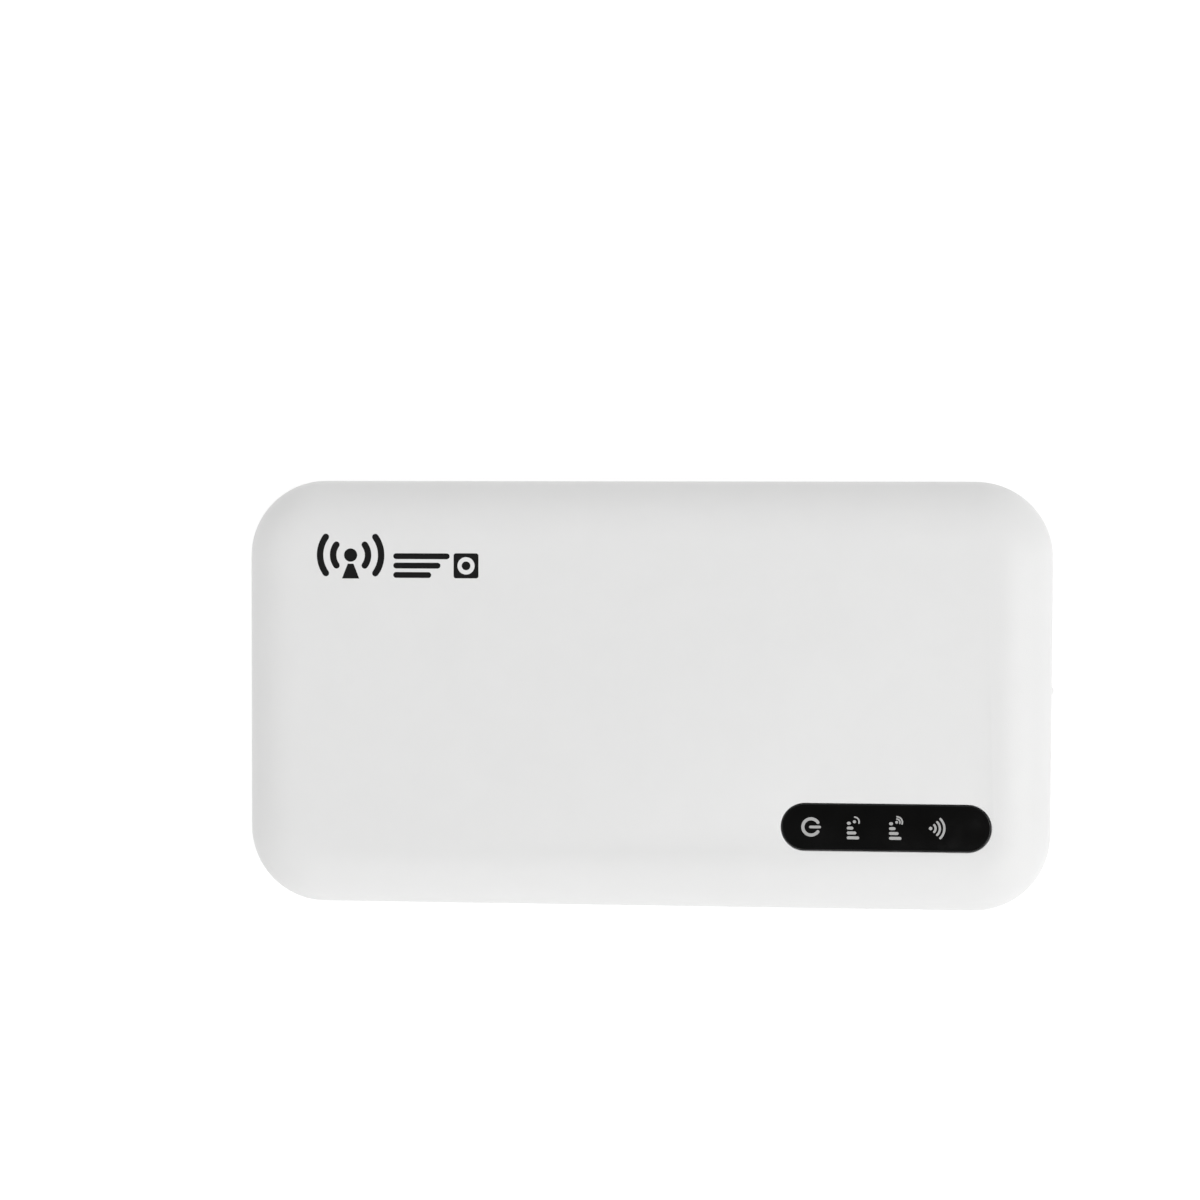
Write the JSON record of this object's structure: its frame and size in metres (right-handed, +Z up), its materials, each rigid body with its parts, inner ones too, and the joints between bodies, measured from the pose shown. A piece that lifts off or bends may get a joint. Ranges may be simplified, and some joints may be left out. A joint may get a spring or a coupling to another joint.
{
  "type": "mobile hotspot",
  "caption": "Pocket cellular router: a flat white case with rounded edges, a black indicator window, a side power button with a small nib, a USB-C port and a SIM tray.",
  "frame": {"origin": "middle of the footprint, on the surface the hotspot lies on", "axes": "+X along the length towards the end with the power button, USB-C port and SIM tray, +Y across the width away from the indicator window, +Z up through the top face"},
  "size_m": [0.1407, 0.0744, 0.018],
  "materials": {
    "white_plastic": "fine spark-eroded satin",
    "black_window": "gloss, printed on the back",
    "clear_plastic": "moulded, light-spreading",
    "dark_plastic": "matte",
    "foot_rubber": "matte",
    "board_green": "solder mask, satin",
    "tin_plate": "bright tin plate",
    "steel": "plated",
    "aluminium": "rolled sheet",
    "ferrite": "pressed powder, matte",
    "silicone_grey": "soft, matte",
    "cell_foil": "laminated pouch foil",
    "foam": "closed-cell foam",
    "cream_plastic": "unpainted nylon",
    "flex_amber": "polyimide film over copper",
    "contact_gold": "gold flash",
    "cable_black": "extruded jacket",
    "wire_red": "extruded jacket",
    "label_silver": "blank film label",
    "led_package": "moulded resin"
  },
  "bodies": {
    "case": {"antenna_back": "flex_amber", "antenna_clip_back": "contact_gold", "antenna_clip_front": "contact_gold", "antenna_front": "flex_amber", "antenna_left_back": "flex_amber", "antenna_left_front": "flex_amber", "battery_cell": "cell_foil", "battery_foam": "foam", "battery_lead_black": "cable_black", "battery_lead_red": "wire_red", "battery_plug": "cream_plastic", "battery_protection_board": "board_green", "battery_socket": "cream_plastic", "battery_tape": "foam", "board_screw_back_1": "steel", "board_screw_back_2": "steel", "board_screw_front_1": "steel", "board_screw_front_2": "steel", "bottom_cover": "white_plastic", "case_screw_back_left": "steel", "case_screw_back_right": "steel", "case_screw_front_left": "steel", "case_screw_front_right": "steel", "coax_cable_back": "cable_black", "coax_cable_front": "cable_black", "coax_plug_back": "contact_gold", "coax_plug_front": "contact_gold", "foot_back_left": "foot_rubber", "foot_back_right": "foot_rubber", "foot_front_left": "foot_rubber", "foot_front_right": "foot_rubber", "heat_spreader": "aluminium", "indicator_lens": "black_window", "led_power": "led_package", "led_signal_a": "led_package", "led_signal_b": "led_package", "led_wireless": "led_package", "light_baffle": "dark_plastic", "light_guide": "clear_plastic", "main_board": "board_green", "modem_chip": "dark_plastic", "modem_shield": "tin_plate", "power_inductor": "ferrite", "power_shield": "tin_plate", "power_switch": "dark_plastic", "rating_label": "label_silver", "reset_switch": "dark_plastic", "sim_socket_base": "dark_plastic", "sim_socket_cage": "steel", "thermal_pad": "silicone_grey", "top_cover": "white_plastic", "usb_c_shell": "steel", "usb_c_tongue": "dark_plastic", "wifi_shield": "tin_plate"},
    "power_button": {"power_button": "white_plastic"},
    "power_plunger": {"power_switch_plunger": "cream_plastic"},
    "reset_plunger": {"reset_switch_plunger": "cream_plastic"},
    "sim_tray": {"sim_tray": "white_plastic", "sim_card": "cream_plastic"}
  },
  "joints": [
    {"name": "power_button_press", "type": "slide", "parent": "case", "child": "power_button", "axis": [-1, 0, 0], "range_m": [0, 0.0003], "stiffness_N_per_m": 4000},
    {"name": "power_plunger_press", "type": "slide", "parent": "case", "child": "power_plunger", "axis": [-1, 0, 0], "range_m": [0, 0.0003]},
    {"name": "reset_press", "type": "slide", "parent": "case", "child": "reset_plunger", "axis": [-1, 0, 0], "range_m": [0, 0.00025], "stiffness_N_per_m": 2000},
    {"name": "sim_tray_slide", "type": "slide", "parent": "case", "child": "sim_tray", "axis": [1, 0, 0], "range_m": [0, 0.016]}
  ],
  "couplings": [
    {"joint": "power_plunger_press", "follows": "power_button_press", "ratio": 1}
  ]
}
